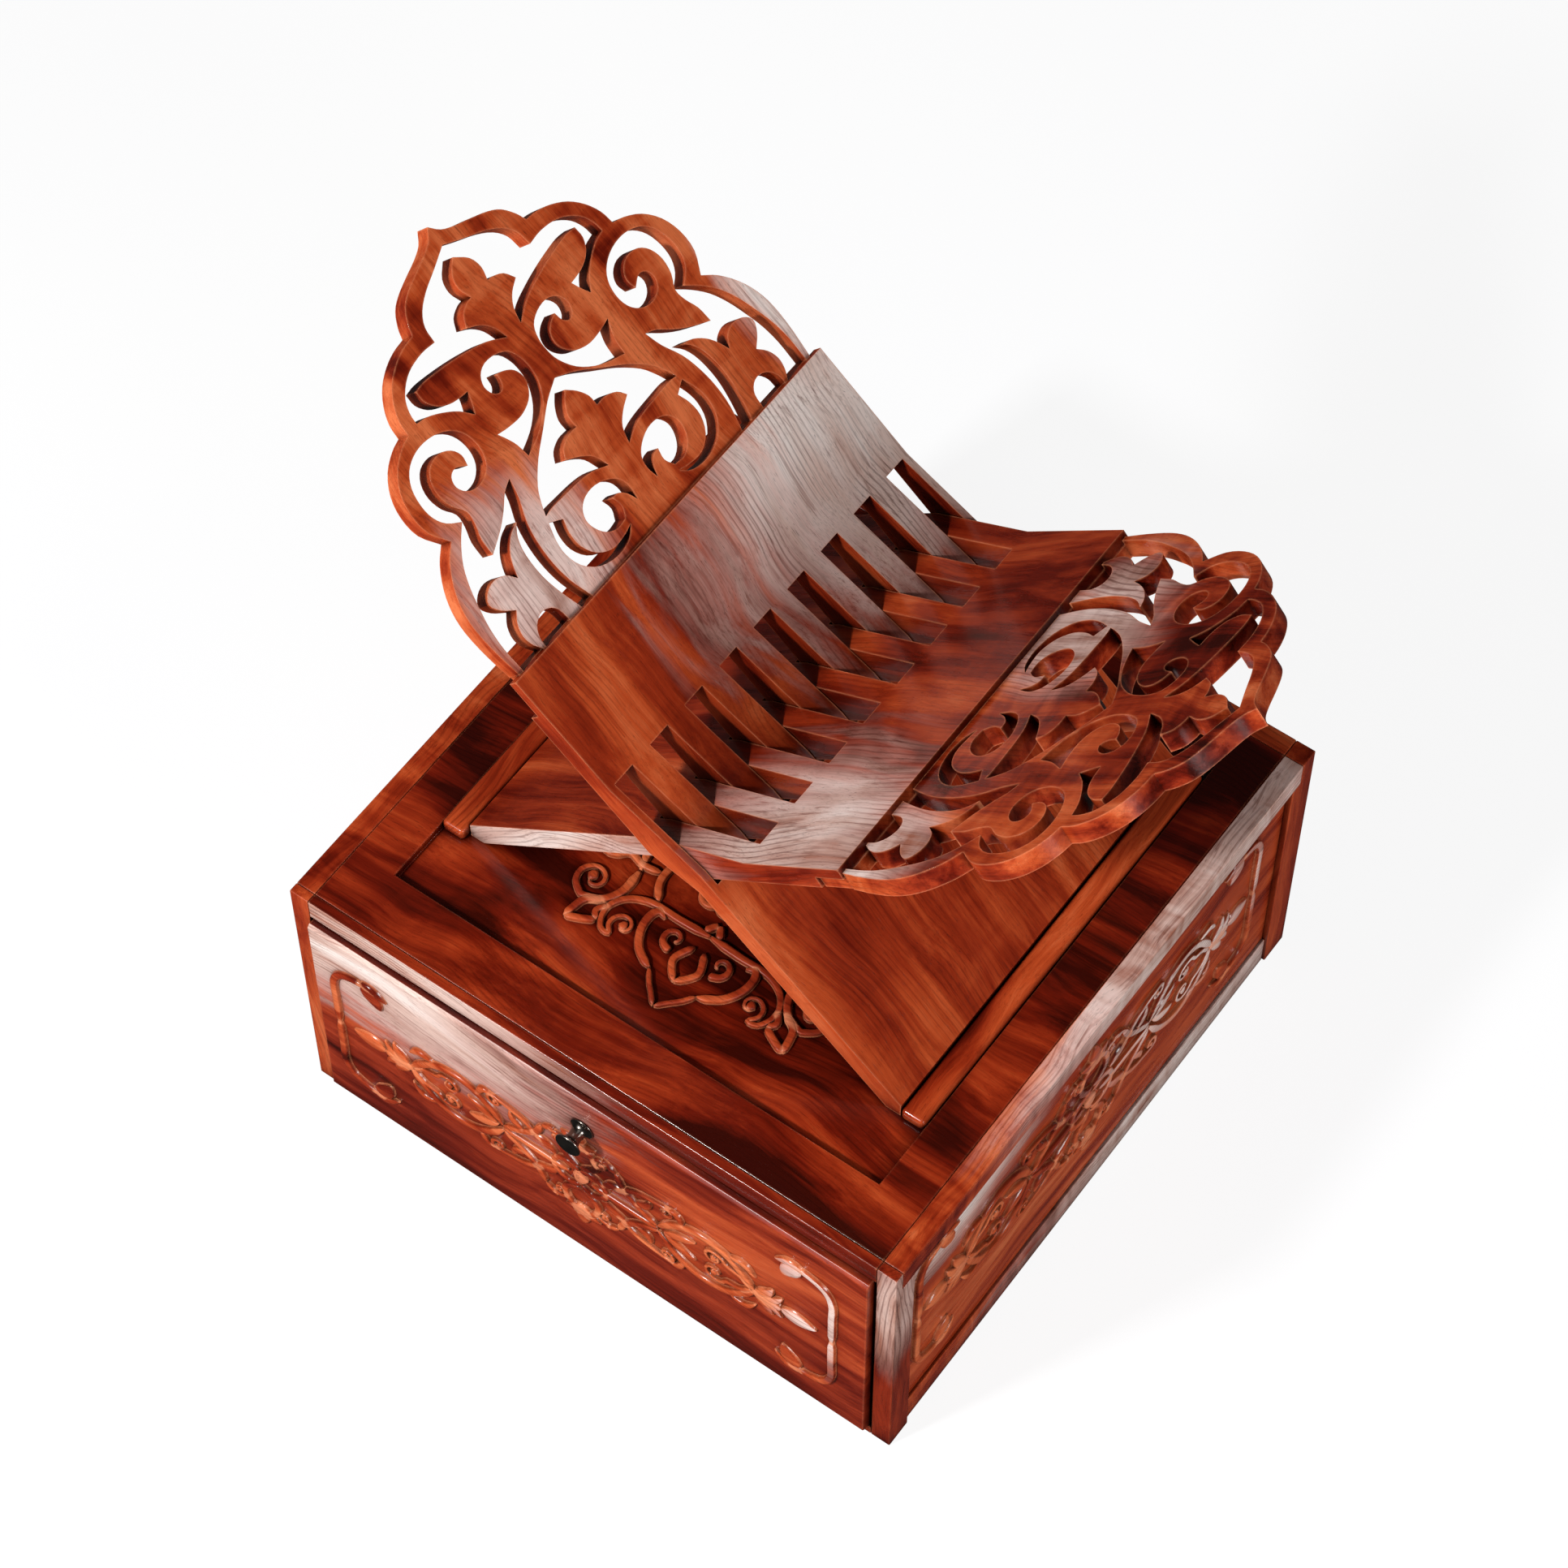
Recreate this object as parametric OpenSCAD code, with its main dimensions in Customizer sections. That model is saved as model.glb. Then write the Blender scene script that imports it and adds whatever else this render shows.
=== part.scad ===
// Quran stand: a folding carved book rest that stands on a square chest with one drawer.
// Origin at the middle of the chest's underside. +X to the right along the drawer front,
// +Y to the back, +Z up. Millimetres.

/* [Chest] */
// Width of the chest from post to post, and its depth
chest_w = 320; // [300:1:340]
// Height of the chest
chest_h = 160; // [150:1:170]
// Thickness of the posts and rails seen from above
frame_t = 10; // [9:0.5:12]
// Thickness of the face-frame strip above the drawer
front_strip = 5; // [4:0.5:6]
// Thickness of the top board
top_t = 12; // [11:0.5:14]
// Depth of the recess cut in the top board
recess_depth = 4; // [3:0.5:5]
// Width of the level border left of and right of the recess
recess_border = 22; // [20:1:26]

/* [Drawer] */
// Gap between the drawer front and the frame around it
drawer_gap = 0.6; // [0.5:0.1:1]
// How far the drawer front stands proud of the posts
drawer_proud = 4; // [3:0.5:5]
// Thickness of the drawer front
drawer_front_t = 14; // [12:0.5:16]
// Thickness of the drawer sides and back
drawer_side_t = 8; // [7:0.5:9]
// Height of the drawer sides above the bottom of the drawer
drawer_side_h = 118; // [100:1:120]
// Diameter of the knob's head
knob_d = 13; // [11:0.5:15]
// How far the knob stands out from the drawer front
knob_reach = 11; // [10:0.5:13]

/* [Book rest] */
// Slope of the open arms and legs above the level
slope = 40; // [39:0.5:42]
// Height of the hinge axis above the chest
axis_rise = 86.7; // [84:0.1:90]
// Thickness of an arm or a leg
leaf_t = 11; // [10:0.5:12]
// Distance from one finger of a leaf to the next
finger_pitch = 24; // [23:0.5:25]
// Number of fingers on the right-hand leaf
fingers = 9; // [7:1:9]
// How far the slots reach from the hinge axis into an arm
slot_reach = 42; // [40:1:46]
// How far the slots reach from the hinge axis into a leg
leg_slot_reach = 16; // [15:1:30]
// Distance from the hinge axis to the end of an arm
arm_reach = 102; // [98:1:106]
// Half the distance between the outer faces of the feet
foot_x = 115.5; // [114:0.5:116]

/* [Crest] */
// Thickness of a fretwork crest
crest_t = 9; // [8:0.5:10]
// Step from the arm's upper face down to the crest's face
crest_step = 3; // [2.5:0.5:3.5]
// Length of the tongue that laps under the end of the arm
lap = 18; // [15:1:20]

/* [Hidden] */

$fn = 48;
wood = "#7a2c17";
wood_light = "#95401f";
wood_dark = "#5c1d10";
metal = "#4a423c";

// Chest
half_w = chest_w / 2;
inner = half_w - frame_t;
rail_h = 14;
post_front_y = 14;
post_back_y = 16;
plinth_h = 18;
plinth_set_back = 1.5;
panel_t = 7;
base_t = 6;
front_rail_h = 12.2;
bearer = 10;
recess_x = inner - recess_border;
recess_y = recess_x - 1;
floor_z = chest_h - recess_depth;

// Cleats that the feet rest against
cleat_w = 11.7;
cleat_h = 7;
cleat_y0 = -95;
cleat_y1 = 119;
cleat_play = 0.5;

// Drawer
drawer_x = inner - 1.5;
drawer_front_y = -half_w - drawer_proud;
drawer_back_y = 140;
drawer_z = base_t + 0.4;
drawer_floor_z = drawer_z + 4;
drawer_floor_t = 5;
drawer_top_z = chest_h - front_rail_h - drawer_gap;
front_bevel = 1.5;
knob_z = 125;
screw_d = 3;
screw_head_d = 6;
screw_head_h = 2;
screw_grip = 7;
stop_size = 8;

// Book rest
stand_y = 11.5;
axis_z = chest_h + axis_rise;
face_gap = 0.3;
side_gap = 0.3;
foot_gap = 0.3;
right_finger = finger_pitch / 2 - 2 * side_gap;
left_finger = finger_pitch / 2;
right_width = (fingers - 1) * finger_pitch + right_finger;
end_finger = 3.5;
left_width = right_width + 2 * (side_gap + end_finger);
facet_u = 8;
rod_d = 5;
rod_play = 0.05;
rod_blind = 1.5;

// Crest
tongue_t = crest_t - 2.5;
tongue_half = 100;
peg_d = 4;
peg_spacing = 44;
curve_steps = 3;

// Outlines of the crest, right half, as [across, up] from the middle of its foot.
// A third value of 1 marks a sharp corner; the curve runs smoothly through the other points.
crest_edge = [
    [0, 155, 1], [4, 150.5], [10, 147.6], [18, 145], [26, 142], [31.5, 138.5], [35.5, 133],
    [37.4, 128.3, 1], [44, 127.5], [51, 125.2], [58, 121], [63.5, 115], [67, 108],
    [68, 101.3, 1], [74, 99.5], [81.5, 95], [87.5, 87.5], [90.4, 78], [89.8, 68],
    [84.5, 58.7, 1], [91, 53.3], [97, 45], [100.8, 36], [102.4, 26], [102, 13],
    [100.5, 0, 1]
];
// Around the upper finial, the leaf arms and the top of the ring
window_top = [
    [0, 145.5, 1], [10, 141], [19.5, 137], [26.5, 132.5], [30.5, 127], [31.5, 120, 1],
    [39, 120.7], [47, 119.6], [53, 117], [58.3, 112.5], [61, 107], [61.7, 102.2, 1],
    [56, 101], [50, 98], [43.5, 93.3], [38.8, 87.5, 1], [36.4, 92], [34.6, 96.3, 1],
    [39.5, 96.8], [44.5, 98], [49.5, 101], [52.6, 106], [52.6, 111.5, 1], [47, 112],
    [38.5, 111], [30, 109.5], [21.5, 107.5], [13, 104.8], [4.5, 100, 1], [6.5, 106.5],
    [10.5, 111.3], [16.3, 114.6, 1], [13.2, 119.5], [8.5, 121.8], [5.5, 122.2, 1],
    [7.2, 128], [5.6, 134], [0, 139, 1]
];
// The eye of the upper volute, the gap beside the stem and the space over the inner arch
window_volute = [
    [37, 75, 1], [31, 73.8], [23, 73.3], [16, 75.5], [12, 79.5], [10.6, 84], [12, 88.5],
    [15.5, 91.3], [19.4, 92.7, 1], [20.2, 88.5], [23, 86.3], [26.3, 88], [27.6, 92.5],
    [25.3, 97], [20.5, 99.3], [14, 98.6], [8.5, 95.5], [6, 90], [5.6, 84], [6.8, 78],
    [11.2, 70.7], [18, 65.2], [25.5, 61.8], [32.5, 59.6, 1], [33.2, 66], [35, 71]
];
// Under the inner arch, around the lower finial
window_arch = [
    [0, 74, 1], [9.5, 69.5], [19.5, 62.8], [30, 55.8], [38.5, 48], [42.5, 41.5], [44.5, 37, 1],
    [40, 37.6], [31, 37.3], [22, 36.8], [14.5, 35.5], [7, 32.3, 1], [9.5, 39], [14.5, 43.5],
    [21, 47, 1], [18, 51], [12.5, 53.3], [7, 53.3, 1], [6.8, 58.5], [4, 63.5], [0, 67.5, 1]
];
// The eye of the lower volute, down beside the stem
window_eye = [
    [17, 11.8, 1], [23, 11.3], [28, 13.8], [31, 18.5], [31.7, 23.5], [29.3, 28], [24.5, 30.6],
    [18, 30.8], [11.5, 28.3], [7.3, 24.5], [6, 19.5], [7, 13.5, 1], [9, 18.3], [12, 21.3],
    [15.7, 21.8, 1], [14.6, 16.5]
];
// The crescent between the lower volute and the foot of the arch
window_crescent = [
    [45.5, 34.3, 1], [48.2, 27], [49, 20], [46.8, 12.3], [40.5, 6], [31, 3.3], [22, 4.6],
    [16.8, 8.6, 1], [22.5, 7.2], [30.5, 6.9], [37.5, 10.8], [41.3, 17.8], [41.3, 25],
    [39.3, 31, 1]
];
// Around the corner palmette and the scroll inside the ring
window_scroll = [
    [46, 59, 1], [48.5, 50.5], [53, 41], [55.3, 31], [56, 21], [55, 11], [52, 0, 1],
    [59, 0, 1], [61.7, 10], [63.5, 21], [63, 32], [60.6, 39.5], [56.5, 44.5, 1],
    [62, 42.6], [67, 38.5], [70.3, 33.5], [72.5, 28, 1], [76, 32.7], [81.5, 34.7],
    [87, 33.3], [90.4, 29.3], [87.8, 24], [82.5, 19.5, 1], [86.2, 15.3], [88, 10],
    [87.2, 4.8], [84.5, 0, 1], [98, 0, 1], [98.2, 12], [97, 22], [94.6, 31], [91.6, 40],
    [87.4, 48.3], [81.5, 55.3], [75, 61, 1], [80.8, 65.3], [83.8, 71], [84.2, 78],
    [82.3, 85.5], [78, 91], [72, 94], [65, 94.8], [57.6, 93.3], [51.3, 89.5], [47.8, 84],
    [47, 77], [49, 71], [53.5, 67.2], [59.2, 66.2], [64.3, 68.2], [66.8, 72.5],
    [65.5, 76.8], [61.5, 78.2], [56.5, 75.2, 1], [55.5, 80], [57.8, 84.5], [63, 87.2],
    [69.3, 86.3], [73.6, 82], [75.3, 75.5], [74, 68.5], [70.5, 62.5], [71.2, 56.5],
    [73.6, 50], [74.2, 42.3, 1], [64.5, 47], [57.5, 51.6], [51.5, 56.5]
];
// The small arch under the palmette
window_foot = [[67, 0, 1], [67.8, 6.5], [71, 10.2], [75.5, 11], [80, 8.7], [82.6, 4.5], [83, 0, 1]];

// Curve functions
function flat(p) = [p[0], p[1]];
function around(p, i) = p[(i + len(p)) % len(p)];
function leaving(p, i) = around(p, i)[2] == 1
    ? flat(around(p, i + 1)) - flat(around(p, i))
    : (flat(around(p, i + 1)) - flat(around(p, i - 1))) / 2;
function arriving(p, i) = around(p, i)[2] == 1
    ? flat(around(p, i)) - flat(around(p, i - 1))
    : (flat(around(p, i + 1)) - flat(around(p, i - 1))) / 2;
function hermite(a, da, b, db, t) =
    a * (2 * t * t * t - 3 * t * t + 1) + da * (t * t * t - 2 * t * t + t)
    + b * (3 * t * t - 2 * t * t * t) + db * (t * t * t - t * t);
function steps_after(p, i) = around(p, i)[2] == 1 && around(p, i + 1)[2] == 1 ? 1 : curve_steps;
function curve(p) = [
    for (i = [0 : len(p) - 1], k = [0 : steps_after(p, i) - 1])
        hermite(flat(around(p, i)), leaving(p, i), flat(around(p, i + 1)), arriving(p, i + 1),
                k / steps_after(p, i))
];
function flip(p) = [for (q = p) [-q[0], q[1], q[2]]];
function both(p) = concat(p, [for (i = [len(p) - 1 : -1 : 0]) if (p[i][0] > 0) flip(p)[i]]);
function joined(lists) = [for (l = lists) for (p = l) p];
function count_before(lists, i) = i == 0 ? 0 : count_before(lists, i - 1) + len(lists[i - 1]);

paired_windows = [window_volute, window_eye, window_crescent, window_scroll, window_foot];
crest_loops = concat(
    [curve(both(crest_edge)), curve(both(window_top)), curve(both(window_arch))],
    [for (w = paired_windows) curve(w)],
    [for (w = paired_windows) curve(flip(w))]
);

// A box between two corners
module block(a, b) {
    translate(a) cube(b - a);
}

// The children as drawn on the right, or mirrored to the left
module on_side(side) {
    mirror([side < 0 ? 1 : 0, 0, 0]) children();
}

// ---- Chest ----

module base_board() {
    color(wood_dark) block([-inner, -half_w, 0], [inner, inner, base_t]);
}

// Each post is notched at its top, where the side's top rail laps over it
module front_post(side) {
    color(wood) on_side(side) union() {
        block([inner, -half_w, 0], [half_w, -half_w + post_front_y, chest_h - rail_h]);
        block([inner, -half_w, chest_h - rail_h], [half_w, -half_w + front_strip, chest_h]);
    }
}

module back_post(side) {
    color(wood) on_side(side) union() {
        block([inner, half_w - post_back_y, 0], [half_w, half_w, chest_h - rail_h]);
        block([inner, inner, chest_h - rail_h], [half_w, half_w, chest_h]);
    }
}

module front_top_rail() {
    color(wood_light)
        block([-inner, -half_w, chest_h - front_rail_h], [inner, -half_w + front_strip, chest_h]);
}

module side_top_rail(side) {
    color(wood_light) on_side(side)
        block([inner, -half_w + front_strip, chest_h - rail_h], [half_w, inner, chest_h]);
}

module back_top_rail() {
    color(wood_light) block([-inner, inner, chest_h - rail_h], [inner, half_w, chest_h]);
}

module side_bottom_rail(side) {
    color(wood_light) on_side(side)
        block([inner, -half_w + post_front_y, 0],
              [half_w - plinth_set_back, half_w - post_back_y, plinth_h]);
}

module back_bottom_rail() {
    color(wood_light) block([-inner, inner, 0], [inner, half_w - plinth_set_back, plinth_h]);
}

module side_panel(side) {
    color(wood) on_side(side)
        block([inner, -half_w + post_front_y, plinth_h],
              [inner + panel_t, half_w - post_back_y, chest_h - rail_h]);
}

module back_panel() {
    color(wood) block([-inner, inner, plinth_h], [inner, inner + panel_t, chest_h - rail_h]);
}

// Strips inside the chest that carry the top board and keep the drawer from tipping
module bearer_strip(side) {
    color(wood_dark) on_side(side)
        block([inner - bearer, -inner, chest_h - top_t - bearer], [inner, inner, chest_h - top_t]);
}

module top_board() {
    color(wood) difference() {
        block([-inner, -half_w + front_strip, chest_h - top_t], [inner, inner, chest_h]);
        block([-recess_x, -recess_y, floor_z], [recess_x, recess_y, chest_h + 1]);
    }
}

module cleat(side) {
    color(wood_light) on_side(side)
        block([foot_x + cleat_play, cleat_y0, floor_z],
              [foot_x + cleat_play + cleat_w, cleat_y1, floor_z + cleat_h]);
}

module drawer_stops() {
    color(wood_dark) for (side = [-1, 1]) on_side(side)
        block([inner - 40, inner - stop_size, base_t], [inner - 10, inner, base_t + stop_size]);
}

// ---- Drawer ----

module drawer_front() {
    y0 = drawer_front_y;
    y1 = y0 + drawer_front_t;
    z0 = base_t + drawer_gap;
    z1 = drawer_top_z;
    color(wood) difference() {
        rotate([90, 0, 90]) linear_extrude(2 * drawer_x, center = true)
            polygon([[y1, z0], [y1, z1], [y0 + front_bevel, z1], [y0, z1 - front_bevel],
                     [y0, z0 + front_bevel], [y0 + front_bevel, z0]]);
        translate([0, y0 - 1, knob_z]) rotate([-90, 0, 0])
            cylinder(h = drawer_front_t + 2, d = screw_d + 0.4);
    }
}

module drawer_side(side) {
    color(wood_light) on_side(side)
        block([drawer_x - drawer_side_t, drawer_front_y + drawer_front_t, drawer_z],
              [drawer_x, drawer_back_y, drawer_z + drawer_side_h]);
}

module drawer_back() {
    x = drawer_x - drawer_side_t;
    color(wood_light)
        block([-x, drawer_back_y - drawer_side_t, drawer_floor_z],
              [x, drawer_back_y, drawer_z + drawer_side_h]);
}

module drawer_bottom() {
    x = drawer_x - drawer_side_t;
    color(wood_dark)
        block([-x, drawer_front_y + drawer_front_t, drawer_floor_z],
              [x, drawer_back_y - drawer_side_t, drawer_floor_z + drawer_floor_t]);
}

module knob() {
    r = knob_d / 2;
    color(metal) translate([0, drawer_front_y, knob_z]) rotate([90, 0, 0]) difference() {
        rotate_extrude()
            polygon([[0, 0], [r - 0.5, 0], [r - 0.5, 1], [r - 2.5, 2.6], [r - 3.2, knob_reach / 2],
                     [r - 2.4, knob_reach - 3], [r, knob_reach - 1.2], [r, knob_reach - 0.5],
                     [r - 0.5, knob_reach], [0, knob_reach]]);
        translate([0, 0, -1]) cylinder(h = screw_grip + 1, d = screw_d);
    }
}

module knob_screw() {
    inside_y = drawer_front_y + drawer_front_t;
    color("silver") translate([0, inside_y, knob_z]) rotate([90, 0, 0]) union() {
        cylinder(h = drawer_front_t + screw_grip, d = screw_d);
        translate([0, 0, -screw_head_h]) cylinder(h = screw_head_h, d = screw_head_d);
    }
}

// ---- Book rest ----

// Frame of the hinge axis
module at_axis() {
    translate([0, stand_y, axis_z]) children();
}

// Frame of one open leaf: X runs out along the arm, Y along the hinge, Z out of the arm's face
module at_leaf(side) {
    at_axis() on_side(side) rotate([0, -slope, 0]) children();
}

// Section of a leaf: arm below its face, leg above it, and the thick finger that joins them
module leaf_section() {
    polygon([
        [arm_reach, -face_gap], [slot_reach, -face_gap], [-facet_u, leaf_t], [-2 * arm_reach, leaf_t],
        [-2 * arm_reach, face_gap], [-leg_slot_reach, face_gap], [facet_u, -leaf_t],
        [arm_reach - lap, -leaf_t], [arm_reach - lap, -crest_step - crest_t + tongue_t],
        [arm_reach, -crest_step - crest_t + tongue_t]
    ]);
}

// The foot is cut level where it stands and upright where it meets its cleat
module leaf_body(width) {
    rotate([90, 0, 0]) linear_extrude(width, center = true) intersection() {
        rotate(slope) leaf_section();
        translate([-foot_x, floor_z - axis_z + foot_gap]) square(4 * arm_reach);
    }
}

module slots(count, width) {
    for (i = [0 : count - 1])
        translate([-leg_slot_reach, (i - (count - 1) / 2) * finger_pitch - width / 2, -3 * leaf_t])
            cube([leg_slot_reach + slot_reach, width, 6 * leaf_t]);
}

module peg_places() {
    for (i = [-1.5 : 1 : 1.5]) translate([arm_reach - lap / 2, i * peg_spacing, 0]) children();
}

module peg_holes() {
    peg_places() translate([0, 0, -2 * leaf_t])
        cylinder(h = 2 * leaf_t - crest_step, d = peg_d);
}

module left_leaf() {
    color(wood) difference() {
        at_axis() on_side(-1) leaf_body(left_width);
        at_leaf(-1) slots(fingers, left_finger);
        at_leaf(-1) peg_holes();
        at_axis() translate([0, left_width / 2 + 1, 0]) rotate([90, 0, 0])
            cylinder(h = left_width + 1 - rod_blind, d = rod_d + 2 * rod_play);
    }
}

module right_leaf() {
    color(wood) difference() {
        at_axis() leaf_body(right_width);
        at_leaf(1) slots(fingers - 1, left_finger + 2 * side_gap);
        at_leaf(1) peg_holes();
        at_axis() rotate([90, 0, 0])
            cylinder(h = right_width + 2, d = rod_d + 2 * rod_play, center = true);
    }
}

module hinge_rod() {
    length = left_width - rod_blind - 0.5;
    color(metal) at_axis() translate([0, left_width / 2, 0]) rotate([90, 0, 0])
        cylinder(h = length, d = rod_d);
}

module crest_face() {
    polygon(
        points = joined(crest_loops),
        paths = [for (i = [0 : len(crest_loops) - 1])
            [for (k = [0 : len(crest_loops[i]) - 1]) count_before(crest_loops, i) + k]]
    );
}

module crest(side) {
    color(wood_light) at_leaf(side) difference() {
        translate([arm_reach, 0, -crest_step - crest_t]) rotate([0, 0, -90]) union() {
            linear_extrude(crest_t) crest_face();
            translate([-tongue_half, -lap, 0]) cube([2 * tongue_half, lap, tongue_t]);
        }
        peg_holes();
    }
}

// Wooden pegs, driven from below through the tongue and into the arm
module crest_pegs(side) {
    color(wood_dark) at_leaf(side) peg_places()
        translate([0, 0, -crest_step - crest_t]) cylinder(h = crest_t, d = peg_d);
}

base_board();
front_post(-1);  // front_left_post
front_post(1);  // front_right_post
back_post(-1);  // back_left_post
back_post(1);  // back_right_post
front_top_rail();
side_top_rail(-1);  // left_top_rail
side_top_rail(1);  // right_top_rail
back_top_rail();
side_bottom_rail(-1);  // left_bottom_rail
side_bottom_rail(1);  // right_bottom_rail
back_bottom_rail();
side_panel(-1);  // left_side_panel
side_panel(1);  // right_side_panel
back_panel();
bearer_strip(-1);  // left_bearer
bearer_strip(1);  // right_bearer
top_board();
cleat(-1);  // left_cleat
cleat(1);  // right_cleat
drawer_stops();
drawer_front();
drawer_side(-1);  // drawer_left_side
drawer_side(1);  // drawer_right_side
drawer_back();
drawer_bottom();
knob();
knob_screw();
hinge_rod();
left_leaf();
crest(-1);  // left_crest
crest_pegs(-1);  // left_crest_pegs
right_leaf();
crest(1);  // right_crest
crest_pegs(1);  // right_crest_pegs
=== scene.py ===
"""Looks of the quran stand: lacquered hardwood, carved relief and soft studio light on the CAD frame."""
import math

import bmesh
import bpy
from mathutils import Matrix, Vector


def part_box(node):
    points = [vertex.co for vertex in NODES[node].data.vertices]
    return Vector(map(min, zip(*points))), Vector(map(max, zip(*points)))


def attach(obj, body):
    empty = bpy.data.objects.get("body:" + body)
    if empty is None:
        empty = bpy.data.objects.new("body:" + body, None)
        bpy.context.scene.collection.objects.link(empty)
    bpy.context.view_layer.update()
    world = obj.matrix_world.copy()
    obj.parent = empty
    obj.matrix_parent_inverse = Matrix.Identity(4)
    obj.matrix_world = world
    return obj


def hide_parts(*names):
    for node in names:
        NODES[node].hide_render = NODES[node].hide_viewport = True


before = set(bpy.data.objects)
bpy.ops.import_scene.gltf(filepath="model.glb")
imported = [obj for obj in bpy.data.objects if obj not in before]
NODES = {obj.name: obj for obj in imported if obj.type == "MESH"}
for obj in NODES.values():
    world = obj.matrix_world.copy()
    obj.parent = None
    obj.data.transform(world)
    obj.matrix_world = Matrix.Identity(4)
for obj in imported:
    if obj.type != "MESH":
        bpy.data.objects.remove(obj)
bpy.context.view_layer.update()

MM = 0.001
SLOPE = math.radians(40)

# ---- Frame dimensions ----

RECESS_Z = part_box("right_cleat")[0].z
DRAWER_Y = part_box("drawer_front")[0].y
PANEL_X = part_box("right_side_panel")[1].x
KNOB_LOW, KNOB_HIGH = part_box("knob")


# ---- Materials ----

def srgb(red, green, blue):
    """Scene colour of an sRGB value from 0 to 255."""
    def linear(value):
        value /= 255
        return value / 12.92 if value <= 0.04045 else ((value + 0.055) / 1.055) ** 2.4
    return (linear(red), linear(green), linear(blue), 1.0)


class Shader:
    """A material and short calls to add nodes to it."""

    def __init__(self, name):
        self.material = bpy.data.materials.new(name)
        self.material.use_nodes = True
        self.tree = self.material.node_tree
        self.tree.nodes.clear()

    def add(self, kind, inputs=None, **settings):
        node = self.tree.nodes.new("ShaderNode" + kind)
        for key, value in settings.items():
            setattr(node, key, value)
        for key, value in (inputs or {}).items():
            if isinstance(value, bpy.types.NodeSocket):
                self.tree.links.new(value, node.inputs[key])
            else:
                node.inputs[key].default_value = value
        return node.outputs

    def math(self, operation, a, b=0.0, c=0.0, clamp=False):
        return self.add("Math", {0: a, 1: b, 2: c}, operation=operation, use_clamp=clamp)[0]

    def mix(self, factor, a, b, blend="MIX"):
        node = self.tree.nodes.new("ShaderNodeMix")
        node.data_type = "RGBA"
        node.blend_type = blend
        for key, value in ((0, factor), (6, a), (7, b)):
            if isinstance(value, bpy.types.NodeSocket):
                self.tree.links.new(value, node.inputs[key])
            else:
                node.inputs[key].default_value = value
        return node.outputs[2]

    def ramp(self, factor, stops):
        outputs = self.add("ValToRGB", {"Fac": factor})
        ramp = outputs[0].node.color_ramp
        while len(ramp.elements) < len(stops):
            ramp.elements.new(0.5)
        for element, (position, colour) in zip(ramp.elements, stops):
            element.position = position
            element.color = colour if len(colour) == 4 else (*colour, 1)
        return outputs[0]

    def surface(self, inputs):
        shader = self.add("BsdfPrincipled", inputs)
        self.add("OutputMaterial", {"Surface": shader[0]})
        return self.material


ALONG_X = (0, 0, 0)
ALONG_Y = (0, 0, math.pi / 2)
ALONG_Z = (0, -math.pi / 2, 0)
UP_LEFT = (0, SLOPE, 0)
UP_RIGHT = (0, -SLOPE, 0)

DARK = srgb(52, 8, 3)
DEEP = srgb(104, 22, 7)
MIDDLE = srgb(148, 46, 18)
LIGHT = srgb(184, 74, 34)
ORANGE = srgb(216, 112, 66)
# PALE_DARK, PALE and PALE_LIGHT colour the painted highlights: a pale sheen standing in for reflections
# on the lacquer
PALE_DARK = srgb(172, 112, 92)
PALE = srgb(220, 190, 178)
PALE_LIGHT = srgb(246, 236, 230)
# Colour of the paler edges: partly wear, partly painted highlight
WEAR_AND_HIGHLIGHT = srgb(230, 142, 100)

BLACK, WHITE = (0, 0, 0), (1, 1, 1)
RING_LINE = (0.42, 0.36, 0.35)
# Dark grain lines inside the painted highlights
HIGHLIGHT_GRAIN_LINE = (0.46, 0.38, 0.37)
FIBRE_LINE = (0.45, 0.40, 0.38)
# Tint of the painted shade in hollows
HOLLOW_SHADE_TINT = (0.16, 0.08, 0.06)

# Noise sizes along and across the grain in metres, each with a shift that keeps it apart
BROAD = (0.18, 0.048, 0.1)
STREAK = (0.13, 0.0085, 0.4)
THIN = (0.07, 0.0018, 0.7)
FIBRE = (0.020, 0.0005, 0.2)
BARS = (0.012, 0.050, 0.9)
RINGS = (0.30, 0.0046, 0.3)
RINGED = (0.09, 0.030, 0.6)
PORES = (0.0045, 0.00035, 0.5)

# Painted shade in hollows: reach in millimetres of the darkening, and the openness where it is full and
# gone
HOLLOW_SHADE_REACHES = ((24.0, 0.30, 0.80), (5.0, 0.34, 0.90))
EDGE_REACH = 1.2


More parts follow.
